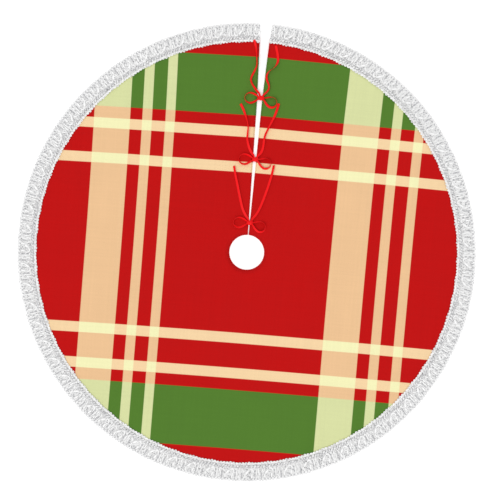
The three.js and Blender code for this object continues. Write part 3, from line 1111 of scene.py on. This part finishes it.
# %% Make the three knots
knot_half_length, knot_half_width, knot_half_height = 8.4 * mm, 6 * mm, 3 * mm
wrap_half_width, wrap_lift = 4.6 * mm, 0.4 * mm
knot_sides, knot_skew = 36, 0.12


def knot_section(x, around):
    """How far a knot's section stands out at a place along it, as a share of its full size."""
    along = abs(x) / knot_half_length
    pillow = (1 - min(along, 0.995) ** 2.6) ** 0.5
    folds = 0.07 * along * np.cos(7 * around + 2 * x / knot_half_length)
    wrinkle = 0.02 * np.cos(x / knot_half_length * 9 + np.sin(around) * 1.4)
    return pillow * (1 + folds + wrinkle)


def make_knot(bow):
    """One wrapped knot over the slit."""
    around = np.linspace(0, math.tau, knot_sides, endpoint=False)
    lip, end = wrap_half_width, knot_half_length - wrap_half_width
    half = lip * np.array([0, 0.24, 0.48, 0.7, 0.86, 0.95, 1])
    half = np.r_[half, lip + end * np.array([0.02, 0.25, 0.5, 0.7, 0.85, 0.94, 0.99])]
    rings, across = [], []
    for x in np.r_[-half[::-1], half[1:]]:
        share = knot_section(x, around)
        wrapped = abs(x) <= lip
        lift = wrap_lift * (1 - 0.5 * (x / lip) ** 6) if wrapped else 0
        y = (knot_half_width * share + lift) * np.cos(around)
        z = (knot_half_height * share + lift) * np.sin(around)
        rings.append(np.stack([x + knot_skew * y, y, z], axis=1))
        across.append(np.full(knot_sides, (x / lip + 1) / 2 if wrapped else 0.5))
    shift_x, shift_y = np.array(bow_shift[bow]) * mm
    centre = (shift_x, knot_y[bow] + shift_y, cloth_top + layer_gap + knot_half_height)
    piece = make_tube(f"{bow}_knot", np.array(rings) + centre)
    along = np.tile(around * knot_half_width, len(rings))
    map_points(piece, "StripMap", np.stack([np.concatenate(across), along], axis=1))
    settle(piece)
    return piece


knots = {bow: make_knot(bow) for bow in bow_names}
print("knots", len(knots))

# %% [markdown]
# ## What each piece stands for
#
# Every piece rides on the one body and hides the packed nodes that it stands for.

# %% Attach the pieces to the body and hide the nodes they stand for
trim = {
    "lace": lace, "picot": tape, "braid": braid,
    "tartan_cloth": [face_cloth] + seams, "lining_cloth": [lining],
    "hem_cloth": list(folds.values()),
    "satin_ribbon": list(knots.values()) + [ribbon for ribbon, _ in ties.values()],
}
stands_for = {
    "lace_edging": lace[0], "picot_tape": tape[0], "heading_braid": braid[0],
    "face_panel": face_cloth, "lining_panel": lining, **folds,
    **{f"bow_{bow}_knot": knot for bow, knot in knots.items()},
}

for slot_name, members in trim.items():
    for piece in members:
        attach(piece, "root")
for node, piece in stands_for.items():
    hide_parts(node)
for piece in trim["tartan_cloth"] + trim["hem_cloth"] + trim["lining_cloth"]:
    map_cut(piece)
for piece in trim["satin_ribbon"]:
    piece.data.materials.append(satin.material)

for (bow, side), (ribbon, middle_line) in ties.items():
    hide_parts(*[f"bow_{bow}_{side}_{part}" for part in ("tab", "loop", "tail")])
print("pieces", sum(len(members) for members in trim.values()))

# %% [markdown]
# ## Floor and light
#
# A plain white floor and a bright even room show the dyes as they are. A soft sun adds the faint
# shadows that give lace and ribbon their shape. The floor glows faintly, so the red cloth doesn't
# tint it, and lies a hair below the cloth.

# %% Set the stage
white = (1.0, 1.0, 1.0, 1.0)
scene.view_settings.view_transform = "Standard"
floor_paint = Finish("floor_paint", Specular_IOR_Level=0.0, Roughness=1.0, Emission_Strength=0.12)
floor_paint.show("Base Color", white)
corners = [(x, y, -0.1 * mm) for x, y in ((-20, -20), (20, -20), (20, 20), (-20, 20))]
floor = make_piece("floor", corners, [(0, 1, 2, 3)])
floor.data.materials.append(floor_paint.material)

room = bpy.data.worlds.new("room")
room.use_nodes = True
glow = room.node_tree.nodes["Background"].inputs
glow["Color"].default_value, glow["Strength"].default_value = white, 0.8
scene.world = room

sun = bpy.data.objects.new("sun", bpy.data.lights.new("sun", "SUN"))
scene.collection.objects.link(sun)
sun.data.energy = 0.27 * math.pi
sun.data.angle = math.radians(50)
sun.rotation_euler = (math.radians(30), math.radians(-20), 0)

# %% Update the scene
bpy.context.view_layer.update()
